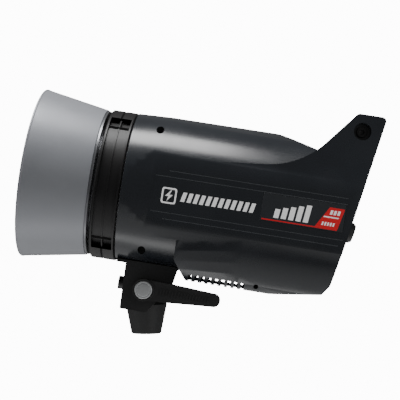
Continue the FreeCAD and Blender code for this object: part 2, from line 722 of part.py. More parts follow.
def rear_face():
    skin = shared(barrel_form("wall+0.2"), plan_form("wall+0.2"), side_form("wall+0.2", "rear_x+20"))
    low = shared(bulge_section("wall+0.2"), bulge_side("wall+0.2", "rear_x+20"))
    slab = block(("panel_face-panel_back", 140, 150), ("rear_x+panel_back", 0, -75))
    slab.Placement = FreeCAD.Placement(V(0, 0, 0), FreeCAD.Rotation(V(0, 1, 0), 1))
    drive(slab, **{"Placement.Rotation.Angle": "rear_lean",
                   "Placement.Base.x": "rear_x+panel_back*cos(rear_lean)-75*sin(rear_lean)",
                   "Placement.Base.y": "-70",
                   "Placement.Base.z": "-panel_back*sin(rear_lean)-75*cos(rear_lean)"})
    plate = shared(join(skin, low), slab)
    cutters = [window("2*window_half", "window_height", 0, "window_z"),
               window("inlet_width", "inlet_height", "inlet_y", "inlet_z-inlet_height/2"),
               window("drawer_width", "drawer_height", "inlet_y", "inlet_z-inlet_height/2-11"),
               window("switch_width", "switch_height", "switch_y", "switch_z-switch_height/2"),
               window("port_width", "port_height", "-side_y", "jack_z-port_height/2"),
               rod("X", "shaft_radius+1", 20, (-10, 0, "knob_z")),
               rod("X", "jack_radius+0.1", 20, (-10, "side_y", "jack_z")),
               rod("X", "cell_radius+0.1", 20, (-10, "side_y", "cell_z"))]
    for name, side, z in KEYS:
        cutters.append(window("key_width+slack", "key_height+slack", "%d*key_y" % side,
                              "%d-(key_height+slack)/2" % z))
    for index in range(LIGHTS):
        cutters.append(rod("X", "light_radius+0.1", 20, (-10, light_y(index), "light_z")))
    tools = join(*cutters)
    tools.Placement = FreeCAD.Placement(V(0, 0, 0), FreeCAD.Rotation(V(0, 1, 0), 1))
    drive(tools, **{"Placement.Rotation.Angle": "rear_lean", "Placement.Base.x": "rear_x"})
    node("rear_panel", cut(plate, tools), HEAD)


def rear_controls():
    glass = block((1.6, "2*window_half", "window_height"), ("panel_face-1.4", 0, "window_z"))
    node("display_window", glass, REAR)
    node("display_module", block((5, 50, 24), ("panel_back-5.2", 0, "window_z-2.2")), REAR)
    board = cut(block(("board_thick", 96, 56), ("panel_back-8", 0, -22)),
                block((4, 52, 26), ("panel_back-9", 0, "window_z-3.2")))
    body = cut(block((5, 13, 13), ("panel_back-6.4", 0, "knob_z-6.5")),
               rod("X", 3.3, 8, ("panel_back-5.4", 0, "knob_z")))
    shaft = rod("X", "shaft_radius", "knob_front-panel_back+1", ("panel_back-4.6", 0, "knob_z"))
    node("encoder_shaft", shaft, REAR)
    cap = cut(join(rod("X", "knob_radius", "knob_front-panel_face-4.4", ("panel_face+1.4", 0, "knob_z")),
                   taper("X", "knob_radius", "knob_radius-3", 3, ("knob_front-3", 0, "knob_z"))),
              rod("X", "shaft_radius", "knob_front-panel_face-4", ("panel_face+1.2", 0, "knob_z")))
    node("control_knob", cap, REAR)
    for name, side, z in KEYS:
        head = block((5.6, "key_width", "key_height"),
                     ("panel_back+0.4", "%d*key_y" % side, "%d-key_height/2" % z))
        stem = rod("X", 1.6, 5, ("panel_back-4.2", "%d*key_y" % side, z))
        node(name, join(head, stem), REAR)
    pads = [cut(block((1.8, 6, 6), ("panel_back-6.4", "%d*key_y" % side, "%d-3" % z)),
                rod("X", 2, 3, ("panel_back-5.8", "%d*key_y" % side, z)))
            for name, side, z in KEYS]
    node("control_board", group(board, body, *pads), REAR)


def rear_sockets():
    shell = cut(block((22, "inlet_width", "inlet_height"),
                      ("panel_face-20", "inlet_y", "inlet_z-inlet_height/2")),
                block((17, 24, 16.5), ("panel_face-14.8", "inlet_y", "inlet_z-8.25")))
    pins = [block((11, 2, 4), ("panel_face-18", "inlet_y+%d*7" % side, "inlet_z-%d" % (2 + drop)))
            for side, drop in ((-1, 2), (1, 2), (0, -2))]
    node("mains_inlet", join(shell, *pins), REAR)
    low = "inlet_z-inlet_height/2-11"
    drawer = cut(block((18, "drawer_width", "drawer_height"), ("panel_face-16.4", "inlet_y", low)),
                 block((14, "drawer_width-4", "drawer_height-3"),
                       ("panel_face-15", "inlet_y", low + "+1.5")))
    node("fuse_drawer", drawer, REAR)
    node("fuse", rod("Y", 2.6, 17, ("panel_face-8", "inlet_y-8.5", low + "+drawer_height/2")), REAR)
    bezel = cut(block((14, "switch_width", "switch_height"),
                      ("panel_face-12.6", "switch_y", "switch_z-switch_height/2")),
                block((10, "switch_width-3.4", "switch_height-3.4"),
                      ("panel_face-7.6", "switch_y", "switch_z-switch_height/2+1.7")))
    node("switch_bezel", bezel, REAR)
    rocker = prism("XZ_Plane",
                   [("panel_face-4", "switch_z-3.8"), ("panel_face+1.6", "switch_z-5"),
                    ("panel_face+0.9", "switch_z"), ("panel_face+3", "switch_z+4.2"),
                    ("panel_face-4", "switch_z+3.8")], "switch_width-4.2", "switch_y-switch_width/2+2.1")
    node("mains_switch", rocker, REAR)
    jack = cut(rod("X", "jack_radius", 9, ("panel_face-7.6", "side_y", "jack_z")),
               rod("X", 1.8, 8, ("panel_face-5.6", "side_y", "jack_z")))
    node("sync_jack", jack, REAR)
    port = cut(block((9, "port_width", "port_height"),
                     ("panel_face-8.4", "-side_y", "jack_z-port_height/2")),
               block((8, "port_width-1.4", "port_height-1.4"),
                     ("panel_face-6.4", "-side_y", "jack_z-port_height/2+0.7")))
    node("service_port", port, REAR)
    dome = shared(ball("cell_radius", ("panel_face+0.6", "side_y", "cell_z")),
                  block((8, 10, 10), ("panel_face", "side_y", "cell_z-5")))
    stem = rod("X", "cell_radius", 6, ("panel_face-5", "side_y", "cell_z"))
    node("photocell_window", join(stem, dome), REAR)
    lights = [rod("X", "light_radius", 4, ("panel_face-3.6", light_y(index), "light_z"))
              for index in range(LIGHTS)]
    node("status_lights", group(*lights), REAR)


# ---------------------------------------------------------------- yoke and stand socket

PIVOT = "-axis_height"


def yoke():
    flange = block((58, "cheek_inner+cheek_thick+cheek_outer", 3),
                   (-30, "(cheek_outer-cheek_inner-cheek_thick)/2", "belly_z-3"))
    near = rounded(prism("XZ_Plane",
                         [(-21.2, "belly_z-2"), (-20.2, "%s-21" % PIVOT), (5, "%s-21" % PIVOT),
                          (25.6, "%s+9.5" % PIVOT), (28, "belly_z-2")],
                         "cheek_thick", "-cheek_inner-cheek_thick"),
                   [(-20.2, "%s-21" % PIVOT, 1.5), (5, "%s-21" % PIVOT, 6), (25.6, "%s+9.5" % PIVOT, 9)])
    far = join(prism("XZ_Plane", [(-16.5, "belly_z-2"), (-16.5, PIVOT), (16.5, PIVOT), (22, "belly_z-2")],
                     "cheek_outer-cheek_inner", "cheek_inner"),
               rod("Y", 17, "cheek_outer-cheek_inner", (0, "cheek_inner", PIVOT)))
    screws = []
    for x, y in yoke_screw_places():
        screws.append(rod("Z", 2.2, 8, (x, y, "belly_z-5")))
        screws.append(taper("Z", 4.6, 2.2, 2.4, (x, y, "belly_z-3.01")))
    tools = [rod("Y", "bolt_radius+0.1", "cheek_thick+2", (0, "-cheek_inner-cheek_thick-1", PIVOT)),
             rod("Y", "bolt_radius", 5.2, (0, "cheek_inner-0.2", PIVOT)),
             rod("X", "umbrella_tube", 62, (-32, "umbrella_y", PIVOT)),
             rod("Y", 2.6, 8, ("umbrella_lock", "cheek_outer-6", PIVOT))]
    node("tilt_yoke", cut(join(flange, near, far), *(tools + screws)), HEAD)
    tube = cut(rod("X", "umbrella_tube", "umbrella_length", ("umbrella_front", "umbrella_y", PIVOT)),
               rod("X", "umbrella_bore", "umbrella_length+2", ("umbrella_front-1", "umbrella_y", PIVOT)),
               rod("Y", 2.6, 8, ("umbrella_lock", "umbrella_y+1", PIVOT)))
    node("umbrella_tube", tube, HEAD)
    node("umbrella_lock_knob", join(rod("Y", 6.5, 9, ("umbrella_lock", "cheek_outer+1", PIVOT)),
                                    rod("Y", 2.4, 5, ("umbrella_lock", "cheek_outer-3.4", PIVOT))), HEAD)
    bolts = [join(taper("Z", 4.3, 1.9, 2.3, (x, y, "belly_z-2.9")),
                  rod("Z", 1.5, 21.8, (x, y, "belly_z-2.4")))
             for x, y in yoke_screw_places()]
    node("yoke_screws", group(*bolts), HEAD)
    bolt = rod("Y", "bolt_radius-0.05", "2*cheek_inner+cheek_thick+14.2",
               (0, "-cheek_inner-cheek_thick-9.2", PIVOT))
    node("tilt_bolt", bolt, HEAD)
    washers = [cut(rod("Y", "hub_radius-1", "washer_thick",
                       (0, "%d*(cheek_inner-washer_thick/2)-washer_thick/2" % side, PIVOT)),
                   rod("Y", "bolt_radius+0.1", 3, (0, "%d*cheek_inner-1.5" % side, PIVOT)))
               for side in (1, -1)]
    node("friction_washers", group(*washers), HEAD)


def lever():
    arm = rounded(prism("XZ_Plane",
                        [(2, "%s-9.9" % PIVOT), (24, "%s-8.4" % PIVOT), (65, "%s-5.6" % PIVOT),
                         ("lever_reach", "%s-5.6" % PIVOT), ("lever_reach", "%s+6.8" % PIVOT),
                         (65, "%s+6.8" % PIVOT), (24, "%s+9.3" % PIVOT), (2, "%s+9.9" % PIVOT)],
                        "lever_width-1.5", "lever_inner-lever_width+1.5"),
                  [("lever_reach", "%s-5.6" % PIVOT, 6), ("lever_reach", "%s+6.8" % PIVOT, 6)])
    hub = rod("Y", "lever_hub", "lever_width", (0, "lever_inner-lever_width", PIVOT))
    tools = [rod("Y", "bolt_radius+0.1", "lever_width", (0, "lever_inner-lever_width+2.4", PIVOT)),
             rod("Y", "lever_recess", 2.6, (0, "lever_inner-lever_width-0.2", PIVOT))]
    node("tilt_lever", cut(join(arm, hub), *tools), HEAD)
    cap = rod("Y", "lever_recess-0.2", 3, (0, "lever_inner-lever_width-0.8", PIVOT))
    node("lever_cap", cap, HEAD)


def stand_socket():
    hub = rod("Y", "hub_radius", "2*hub_half", (0, "-hub_half", "pivot_height"))
    neck = taper("Z", "socket_shoulder", 14, "pivot_height-shoulder_z", (0, 0, "shoulder_z"))
    skirt = taper("Z", "socket_mouth+0.2", "socket_shoulder", "shoulder_z-1", (0, 0, 1))
    lip = taper("Z", "socket_mouth-0.8", "socket_mouth+0.2", 1, (0, 0, 0))
    tools = [rod("Z", "socket_bore+socket_wall", "socket_depth+1", (0, 0, -1)),
             rod("Y", "bolt_radius+0.25", "2*hub_half+2", (0, "-hub_half-1", "pivot_height")),
             rod("Y", "lock_hole", 26, (0, 0, "lock_z"))]
    node("stand_socket", cut(join(hub, neck, skirt, lip), *tools), ROW)
    liner = cut(rod("Z", "socket_bore+socket_wall", "socket_depth", (0, 0, 0)),
                rod("Z", "socket_bore", "socket_depth+2", (0, 0, -1)),
                rod("Y", "lock_hole", 26, (0, 0, "lock_z")))
    node("socket_liner", liner, ROW)
    screw = join(rod("Y", "lock_hole-0.2", "cheek_outer+3-socket_bore-0.6",
                     (0, "socket_bore+0.6", "lock_z")),
                 rod("Y", "lock_radius", 11, (0, "cheek_outer+2.5", "lock_z")))
    node("stand_lock_knob", screw, ROW)


# ---------------------------------------------------------------- build and write

casing()
casing_fasteners()
handle()
badges()
bayonet()
reflector()
light_sources()
electronics()
fan()
rear_face()
rear_controls()
rear_sockets()
yoke()
lever()
stand_socket()
doc.recompute()

failed = [o.Label for o in doc.Objects if "Invalid" in o.State or "Error" in o.State]
for form in nodes:
    if form.Shape.isNull() or not form.Shape.isValid() or form.Shape.Volume <= 0:
        failed.append(form.Label)
if failed:
    raise RuntimeError("these did not build: " + ", ".join(failed))

os.makedirs("parts", exist_ok=True)
for form in nodes:
    form.Shape.exportStep("parts/%s.step" % form.Label)
    print("%-22s solids %d  volume %8.0f" % (form.Label, len(form.Shape.Solids), form.Shape.Volume))
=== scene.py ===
import json
import math

import bmesh
import bpy
from mathutils import Matrix, Vector


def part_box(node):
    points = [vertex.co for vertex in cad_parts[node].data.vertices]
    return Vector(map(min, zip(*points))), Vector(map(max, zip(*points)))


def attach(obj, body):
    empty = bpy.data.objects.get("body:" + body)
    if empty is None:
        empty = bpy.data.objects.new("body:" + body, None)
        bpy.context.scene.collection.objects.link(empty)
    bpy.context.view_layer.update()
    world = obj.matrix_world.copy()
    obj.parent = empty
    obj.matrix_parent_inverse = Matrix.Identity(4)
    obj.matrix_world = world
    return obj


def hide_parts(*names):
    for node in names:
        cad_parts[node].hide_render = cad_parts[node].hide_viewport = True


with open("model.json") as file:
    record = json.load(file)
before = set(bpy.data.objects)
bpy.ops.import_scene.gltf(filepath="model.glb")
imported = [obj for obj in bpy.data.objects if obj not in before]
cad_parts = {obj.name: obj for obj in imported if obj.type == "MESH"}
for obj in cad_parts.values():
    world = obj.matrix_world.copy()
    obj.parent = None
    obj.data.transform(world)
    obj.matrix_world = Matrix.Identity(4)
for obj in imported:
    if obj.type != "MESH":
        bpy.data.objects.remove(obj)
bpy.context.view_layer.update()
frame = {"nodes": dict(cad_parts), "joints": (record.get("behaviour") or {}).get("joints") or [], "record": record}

MM = 0.001
scene = bpy.context.scene
record = frame["record"]
SLOTS = {s["node"]: s["material_slot"] for s in record["subparts"]}
BODY_OF = {n: body for body, group in record["behaviour"]["bodies"].items() for n in group}


# ---------------------------------------------------------------- the head's own frames

def joint(name):
    return [j for j in frame["joints"] if j["name"] == name][0]


def frame_at(origin, x_axis):
    """A frame with its X along x_axis, its Y along the row's Y, in metres."""
    x = Vector(x_axis).normalized()
    y = Vector((0, 1, 0))
    z = x.cross(y)
    rows = Matrix((x, y, z)).transposed().to_4x4()
    return Matrix.Translation(Vector(origin)) @ rows


RING_AHEAD = 45      # mm from the pivot's plane forward to the locking ring's joint
KNOB_DROP = 9        # mm down the rear face from the optical axis to the control knob
RING = joint("bayonet_ring_turn")
HEAD_X = Vector(RING["axis"])
HEAD = frame_at(Vector(RING["pos_m"]) + HEAD_X * RING_AHEAD * MM, HEAD_X)   # optical axis, above the pivot
KNOB = joint("control_knob_turn")
REAR_X = Vector(KNOB["axis"])
REAR = frame_at(Vector(KNOB["pos_m"]), REAR_X)
REAR = REAR @ Matrix.Translation((0, 0, KNOB_DROP * MM))             # where the axis meets the rim
ROW = Matrix.Identity(4)


# ---------------------------------------------------------------- material helpers

def colour(code):
    """Linear RGBA from an sRGB hex value."""
    parts = [int(code[i:i + 2], 16) / 255 for i in (1, 3, 5)]
    lin = [c / 12.92 if c <= 0.04045 else ((c + 0.055) / 1.055) ** 2.4 for c in parts]
    return (*lin, 1.0)


def add(tree, kind, links=None, **settings):
    """Add a node, set its properties and input values, and link its inputs or give them numbers."""
    node = tree.nodes.new(kind)
    for key, value in settings.items():
        if hasattr(node, key):
            setattr(node, key, value)
        else:
            node.inputs[key.replace("_", " ")].default_value = value
    for key, source in (links or {}).items():
        if isinstance(source, bpy.types.NodeSocket):
            tree.links.new(source, node.inputs[key])
        else:
            node.inputs[key].default_value = source
    return node


def material(name, base, roughness, metallic=0.0, **shader):
    """A Principled material with its uniform values on the shader's own sockets."""
    mat = bpy.data.materials.new(name)
    mat.use_nodes = True
    tree = mat.node_tree
    bsdf = tree.nodes["Principled BSDF"]
    bsdf.inputs["Base Color"].default_value = colour(base)
    bsdf.inputs["Roughness"].default_value = roughness
    bsdf.inputs["Metallic"].default_value = metallic
    for key, value in shader.items():
        bsdf.inputs[key.replace("_", " ")].default_value = value
    return mat, tree, bsdf


def grain(tree, bsdf, size_mm, depth_mm, strength=1.0, detail=2.0, rough=None, tone=None):
    """Surface grain of a given size: bump, and if asked a spread of roughness and of colour."""
    place = add(tree, "ShaderNodeTexCoord")
    noise = add(tree, "ShaderNodeTexNoise", {"Vector": place.outputs["Object"]},
                Scale=1 / (size_mm * MM), Detail=detail, Roughness=0.6)
    bump = add(tree, "ShaderNodeBump", {"Height": noise.outputs["Fac"]},
               Strength=strength, Distance=depth_mm * MM)
    tree.links.new(bump.outputs["Normal"], bsdf.inputs["Normal"])
    broad = add(tree, "ShaderNodeTexNoise", {"Vector": place.outputs["Object"]},
                Scale=1 / (28 * MM), Detail=3.0)
    if rough:
        spread = add(tree, "ShaderNodeMapRange", {"Value": broad.outputs["Fac"]},
                     To_Min=rough[0], To_Max=rough[1])
        spread.inputs["From Min"].default_value = 0.3
        spread.inputs["From Max"].default_value = 0.7
        tree.links.new(spread.outputs["Result"], bsdf.inputs["Roughness"])
    if tone:
        mix = add(tree, "ShaderNodeMix", {"Factor": broad.outputs["Fac"]}, data_type="RGBA")
        mix.inputs["A"].default_value = colour(tone[0])
        mix.inputs["B"].default_value = colour(tone[1])
        tree.links.new(mix.outputs["Result"], bsdf.inputs["Base Color"])


def casing_plastic():
    # Moulded PC/ABS shell: near black with a satin mould finish, so softboxes show as broad bands.
    mat, tree, bsdf = material("moulded_casing_abs", "#1A1D21", 0.25, IOR=1.5)
    grain(tree, bsdf, 0.55, 0.008, 0.4, rough=(0.22, 0.27), tone=("#181B1F", "#1E2126"))
    return mat


def ring_plastic():
    # Glass-filled nylon ring: flatter and a little warmer than the casing, with a fine spark texture.
    mat, tree, bsdf = material("glass_filled_nylon", "#0E0D0E", 0.44, IOR=1.5, Specular_IOR_Level=0.28)
    grain(tree, bsdf, 0.7, 0.03, 0.6, rough=(0.38, 0.47), tone=("#0C0B0C", "#111011"))
    return mat


def reflector_paint():
    # Spun aluminium with silver-grey stove enamel: very fine flake, soft highlight.
    mat, tree, bsdf = material("silver_grey_enamel", "#818388", 0.4, 0.25)
    grain(tree, bsdf, 0.5, 0.01, 0.5, rough=(0.42, 0.5), tone=("#7E8085", "#85878C"))
    return mat


def reflector_silver():
    # Anodised inner face: bright metal, hammered by 3 mm dimples that spread the light.
    mat, tree, bsdf = material("dimpled_anodised_aluminium", "#D9DADC", 0.24, 1.0)
    place = add(tree, "ShaderNodeTexCoord")
    cells = add(tree, "ShaderNodeTexVoronoi", {"Vector": place.outputs["Object"]},
                feature="SMOOTH_F1", Scale=1 / (3.0 * MM))
    bump = add(tree, "ShaderNodeBump", {"Height": cells.outputs["Distance"]},
               Strength=0.8, Distance=0.25 * MM)
    tree.links.new(bump.outputs["Normal"], bsdf.inputs["Normal"])
    return mat


def simple_finishes():
    made = {}
    # Powder-coated die casting: matt black with a 0.9 mm orange peel.
    mat, tree, bsdf = material("powder_coated_die_casting", "#121213", 0.5, IOR=1.5)
    grain(tree, bsdf, 0.9, 0.03, 0.6, rough=(0.45, 0.56))
    made["bracket_black"] = mat
    # Moulded lever: satin nylon.
    mat, tree, bsdf = material("moulded_lever_nylon", "#151516", 0.45, IOR=1.53)
    grain(tree, bsdf, 0.6, 0.015, 0.5, rough=(0.4, 0.5))
    made["lever_black"] = mat
    # Lever cap: light grey ABS disc.
    mat, tree, bsdf = material("grey_abs_cap", "#A9ABAC", 0.35, 0.3)
    grain(tree, bsdf, 0.5, 0.01, 0.4, rough=(0.3, 0.4))
    made["lever_grey"] = mat
    # Control panel: fine spark-eroded texture.
    mat, tree, bsdf = material("spark_textured_panel", "#131415", 0.55, IOR=1.5)
    grain(tree, bsdf, 0.5, 0.03, 0.7, rough=(0.5, 0.6))
    made["panel_black"] = mat
    # Badge film: printed polycarbonate, a shade lighter than the shell.
    mat, tree, bsdf = material("printed_badge_film", "#202327", 0.38)
    grain(tree, bsdf, 0.4, 0.006, 0.4, rough=(0.35, 0.42))
    made["badge_dark"] = mat
    # Silicone keys.
    mat, tree, bsdf = material("silicone_key", "#3A3B3D", 0.6)
    grain(tree, bsdf, 0.4, 0.01, 0.5, rough=(0.55, 0.65))
    made["key_rubber"] = mat
    # Rocker: glossy translucent red polycarbonate.
    mat, tree, bsdf = material("red_polycarbonate_rocker", "#A01612", 0.18)
    grain(tree, bsdf, 2.0, 0.004, 0.3, rough=(0.16, 0.22))
    made["switch_red"] = mat
    # Knobs: soft-touch knurled ABS.
    mat, tree, bsdf = material("soft_touch_knob", "#18191A", 0.5)
    grain(tree, bsdf, 0.5, 0.015, 0.5, rough=(0.46, 0.56))
    made["knob_black"] = mat
    # Smoked acrylic window.
    mat, tree, bsdf = material("smoked_acrylic_window", "#0B0D0F", 0.08, IOR=1.49)
    grain(tree, bsdf, 8.0, 0.003, 0.2, rough=(0.06, 0.1))
    made["display_glass"] = mat
    # Backing board seen dimly through the window.
    mat, tree, bsdf = material("display_backing", "#20343A", 0.4)
    grain(tree, bsdf, 1.0, 0.004, 0.3)
    made["display_panel"] = mat
    # Handle sleeve: ribbed thermoplastic rubber.
    mat, tree, bsdf = material("thermoplastic_rubber_grip", "#161617", 0.68)
    grain(tree, bsdf, 0.8, 0.03, 0.6, rough=(0.62, 0.74))
    made["grip_rubber"] = mat
    # Dark anodised collar: a satin charcoal metal film that catches the overhead light.
    mat, tree, bsdf = material("charcoal_anodised_collar", "#6A6B6E", 0.3, 0.7)
    grain(tree, bsdf, 0.6, 0.006, 0.4, rough=(0.24, 0.34))
    made["collar_grey"] = mat
    # Black-oxide screws: almost no colour, with a dull sheen.
    mat, tree, bsdf = material("black_oxide_steel", "#0C0C0D", 0.42, 0.4)
    grain(tree, bsdf, 0.5, 0.01, 0.5, rough=(0.36, 0.5))
    made["black_steel"] = mat
    # Zinc-plated steel.
    mat, tree, bsdf = material("zinc_plated_steel", "#B9BABC", 0.3, 1.0)
    grain(tree, bsdf, 0.8, 0.01, 0.5, rough=(0.24, 0.38))
    made["steel"] = mat
    # Cast and sheet aluminium.
    mat, tree, bsdf = material("bead_blasted_aluminium", "#B4B6B9", 0.45, 1.0)
    grain(tree, bsdf, 0.7, 0.02, 0.6, rough=(0.4, 0.52))
    made["cast_aluminium"] = mat
    # Frosted glass of the flash tube and the bulb's jacket.
    mat, tree, bsdf = material("frosted_tube_glass", "#F1F0EA", 0.25, Transmission_Weight=0.55, IOR=1.46)
    grain(tree, bsdf, 3.0, 0.01, 0.3, rough=(0.2, 0.3))
    made["tube_glass"] = mat
    mat, tree, bsdf = material("opal_bulb_glass", "#F4F2EC", 0.3, Transmission_Weight=0.35, IOR=1.5)
    grain(tree, bsdf, 4.0, 0.01, 0.3, rough=(0.25, 0.35))
    made["lamp_glass"] = mat
    # Brass bulb cap with a nickel plate worn a little yellow.
    mat, tree, bsdf = material("nickel_plated_cap", "#C9C2A8", 0.3, 1.0)
    grain(tree, bsdf, 1.0, 0.01, 0.4, rough=(0.25, 0.35))
    made["lamp_cap"] = mat
    # Lamp and flash tube sockets: glazed steatite, slightly uneven in tone.
    mat, tree, bsdf = material("glazed_steatite", "#E6E1D6", 0.3)
    grain(tree, bsdf, 1.2, 0.02, 0.4, rough=(0.25, 0.4), tone=("#E2DCD0", "#EAE6DC"))
    made["ceramic"] = mat
    # Capacitor sleeves: dark blue PVC shrunk over the cans.
    mat, tree, bsdf = material("pvc_shrink_sleeve", "#1C2B4A", 0.35)
    grain(tree, bsdf, 3.0, 0.02, 0.4, rough=(0.3, 0.42))
    made["capacitor_sleeve"] = mat
    # Circuit boards: green solder mask over the weave.
    mat, tree, bsdf = material("solder_mask_board", "#1C5A36", 0.4)
    grain(tree, bsdf, 1.5, 0.01, 0.5, rough=(0.35, 0.5), tone=("#184F30", "#21653D"))
    made["board_green"] = mat
    # Transformer and coil: copper wire under dark varnish.
    mat, tree, bsdf = material("varnished_copper_winding", "#8E4E22", 0.35, 0.7)
    grain(tree, bsdf, 0.8, 0.05, 0.8, rough=(0.3, 0.45), tone=("#7C431C", "#A05C2B"))
    made["winding"] = mat
    # Fan frame and rotor: plain moulded PBT.
    mat, tree, bsdf = material("fan_pbt", "#161617", 0.5)
    grain(tree, bsdf, 0.8, 0.01, 0.4, rough=(0.45, 0.55))
    made["fan_black"] = mat
    # Photocell window and status lights: tinted acrylic, nearly glossy.
    mat, tree, bsdf = material("tinted_lens_acrylic", "#7A1015", 0.12)
    grain(tree, bsdf, 3.0, 0.004, 0.2, rough=(0.1, 0.16))
    made["lens_red"] = mat
    return made


FINISH = simple_finishes()
FINISH["casing_black"] = casing_plastic()
FINISH["ring_black"] = ring_plastic()
FINISH["reflector_paint"] = reflector_paint()
FINISH["reflector_silver"] = reflector_silver()


# ---------------------------------------------------------------- prints and small finishes

def print_and_highlight_film(name, base, roughness):
    # Pad-printed ink, and the painted highlight strips in the flank grooves: a thin, slightly uneven film with a
    # soft sheen.
    mat, tree, bsdf = material(name, base, roughness)
    grain(tree, bsdf, 0.3, 0.004, 0.5, rough=(roughness - 0.06, roughness + 0.06))
    return mat


WHITE_INK = print_and_highlight_film("white_pad_print", "#FDFDFD", 0.4)
RED_INK = print_and_highlight_film("red_pad_print", "#D0101C", 0.42)
# Lighter grey strips laid in the flank grooves: a painted highlight standing in for light caught on the grooves'
# edges.
PAINTED_HIGHLIGHT_LINE = print_and_highlight_film("grey_painted_highlight_line", "#4A4D51", 0.34)
LIT_SEGMENT, lit_tree, lit_bsdf = material("lit_display_segment", "#BFE6F2", 0.4,
                                           Emission_Color=colour("#BFE6F2"), Emission_Strength=1.2)
grain(lit_tree, lit_bsdf, 0.6, 0.002, 0.2)


# ---------------------------------------------------------------- meshes

def smooth_by_angle(mesh, degrees):
    """Smooth faces, with every edge sharper than the angle marked sharp."""
    mesh.polygons.foreach_set("use_smooth", [True] * len(mesh.polygons))
    bm = bmesh.new()
    bm.from_mesh(mesh)
    limit = math.radians(degrees)
    for edge in bm.edges:
        edge.smooth = len(edge.link_faces) == 2 and edge.calc_face_angle(0.0) < limit
    bm.to_mesh(mesh)
    bm.free()


def evaluated_mesh(obj):
    """The object's mesh with its modifiers in it, which are then taken off."""
    mesh = bpy.data.meshes.new_from_object(obj.evaluated_get(bpy.context.evaluated_depsgraph_get()))
    obj.modifiers.clear()
    obj.data = mesh
    return mesh


def keep(name, mesh, place, finish, body, slot, *nodes, angle=30):
    """Turn a mesh drawn in millimetres in its own frame into a piece of the object."""
    mesh.transform(place @ Matrix.Scale(MM, 4))
    mesh.name = name
    smooth_by_angle(mesh, angle)
    mesh.materials.clear()
    mesh.materials.append(finish)
    piece = bpy.data.objects.new(name, mesh)
    scene.collection.objects.link(piece)
    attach(piece, body)
    if nodes:
        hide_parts(*nodes)


def mesh_of(bm):
    """The bmesh as a mesh, with its faces turned outward."""
    bmesh.ops.recalc_face_normals(bm, faces=bm.faces)
    mesh = bpy.data.meshes.new("made")
    bm.to_mesh(mesh)
    bm.free()
    return mesh


def softened(points, radius, steps=4):
    """A closed outline with each corner rounded, as far as its runs allow."""
    out = []
    count = len(points)
    for i, corner in enumerate(points):
        corner = Vector(corner)
        before, after = Vector(points[i - 1]) - corner, Vector(points[(i + 1) % count]) - corner
        turn = before.angle(after)
        if turn > math.radians(172):
            out.append(corner)
            continue
        back = min(radius / math.tan(turn / 2), 0.45 * before.length, 0.45 * after.length)
        start, end = corner + before.normalized() * back, corner + after.normalized() * back
        for k in range(steps + 1):
            t = k / steps
            out.append(start * (1 - t) ** 2 + corner * 2 * t * (1 - t) + end * t ** 2)
    return out


def revolved(outline, segments, start=0.0, sweep=360.0):
    """A closed outline of (x, radius) turned about X; a part turn gets end faces."""
    bm = bmesh.new()
    whole = sweep >= 360
    rings = []
    for k in range(segments if whole else segments + 1):
        a = math.radians(start + sweep * k / segments)
        rings.append([bm.verts.new((x, r * math.sin(a), r * math.cos(a))) for x, r in outline])
    count = len(outline)
    for k in range(segments):
        here, there = rings[k], rings[(k + 1) % len(rings)]
        for i in range(count):
            bm.faces.new((here[i], here[(i + 1) % count], there[(i + 1) % count], there[i]))
    if not whole:
        bm.faces.new(rings[0])
        bm.faces.new(rings[-1])
    bmesh.ops.remove_doubles(bm, verts=bm.verts, dist=1e-4)
    return mesh_of(bm)


def sheet_piece(outline, front, back, holes=()):
    """An outline of (x, z) made solid from y = front to y = back."""
    curve = bpy.data.curves.new("outline", "CURVE")
    curve.dimensions = "2D"
    curve.fill_mode = "BOTH"
    for loop in (outline, *holes):
        spline = curve.splines.new("POLY")
        spline.points.add(len(loop) - 1)
        for point, (x, z) in zip(spline.points, loop):
            point.co = (x, z, 0, 1)
        spline.use_cyclic_u = True
    curve.extrude = abs(back - front) / 2
    holder = bpy.data.objects.new("outline", curve)
    scene.collection.objects.link(holder)
    mesh = bpy.data.meshes.new_from_object(
        holder.evaluated_get(bpy.context.evaluated_depsgraph_get()))
    bpy.data.objects.remove(holder)
    mesh.transform(Matrix.Translation((0, (front + back) / 2, 0)) @ Matrix.Rotation(math.pi / 2, 4, "X"))
    bm = bmesh.new()
    bm.from_mesh(mesh)
    bmesh.ops.remove_doubles(bm, verts=bm.verts, dist=1e-4)
    return mesh_of(bm)


def finished_copy(node, bevel_mm=0.4):
    """A merged copy of a CAD node with its edges rounded, if asked, which stands for the node."""
    source = frame["nodes"][node]
    bm = bmesh.new()
    bm.from_mesh(source.data)
    bmesh.ops.remove_doubles(bm, verts=bm.verts, dist=0.004 * MM)
    if bevel_mm:
        bmesh.ops.dissolve_limit(bm, angle_limit=math.radians(0.8), verts=bm.verts, edges=bm.edges)
    mesh = bpy.data.meshes.new(node + "_finished")
    bm.to_mesh(mesh)
    bm.free()
    piece = bpy.data.objects.new(node + "_finished", mesh)
    scene.collection.objects.link(piece)
    if bevel_mm:
        bevel = piece.modifiers.new("edge_round", "BEVEL")
        bevel.width = bevel_mm * MM
        bevel.segments = 3
        bevel.angle_limit = math.radians(32)
        bevel.miter_outer = "MITER_ARC"
        evaluated_mesh(piece)
    smooth_by_angle(piece.data, 30)
    if bevel_mm:
        piece.modifiers.new("flat_faces", "WEIGHTED_NORMAL").keep_sharp = True
        evaluated_mesh(piece)
    piece.data.materials.clear()
    piece.data.materials.append(FINISH[SLOTS[node]])
    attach(piece, BODY_OF[node])
    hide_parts(node)


# ---------------------------------------------------------------- geometry trees

def geometry_tree(name, **inputs):
    """A tree with named inputs; gives the tree and the node they come out of."""
    tree = bpy.data.node_groups.new(name, "GeometryNodeTree")
    for key, kind in inputs.items():
        tree.interface.new_socket(key, in_out="INPUT", socket_type="NodeSocket" + kind)
    tree.interface.new_socket("Finish", in_out="INPUT", socket_type="NodeSocketMaterial")
    tree.interface.new_socket("Made", in_out="OUTPUT", socket_type="NodeSocketGeometry")
    return tree, tree.nodes.new("NodeGroupInput").outputs


